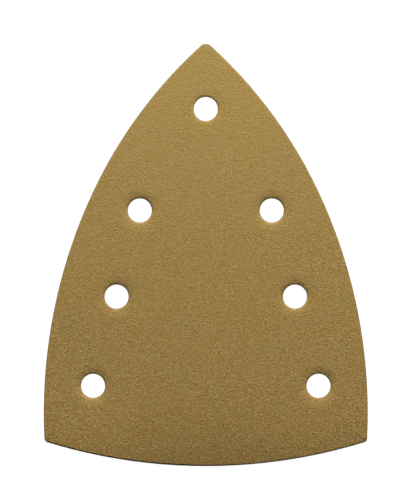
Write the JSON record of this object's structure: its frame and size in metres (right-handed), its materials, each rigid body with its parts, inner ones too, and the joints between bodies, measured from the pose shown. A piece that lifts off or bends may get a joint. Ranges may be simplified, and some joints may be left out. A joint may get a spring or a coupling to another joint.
{
  "type": "sanding sheet",
  "caption": "Pointed hook-and-loop sanding sheet for a detail mouse sander, with round dust-extraction holes",
  "frame": {"origin": "on the loop side, in the middle of the outline's box", "axes": "+Y towards the point, +X across the sheet, +Z out of the grit side"},
  "size_m": [0.1058, 0.138, 0.0014],
  "materials": {
    "grit": "matte",
    "resin": "satin",
    "paper": "matte",
    "glue": "satin",
    "loop_fabric": "matte"
  },
  "bodies": {
    "root": {"loop_pile": "loop_fabric", "knit_ground": "loop_fabric", "laminating_glue": "glue", "backing_paper": "paper", "make_coat": "resin", "size_coat": "resin", "abrasive_grain": "grit"}
  },
  "joints": []
}
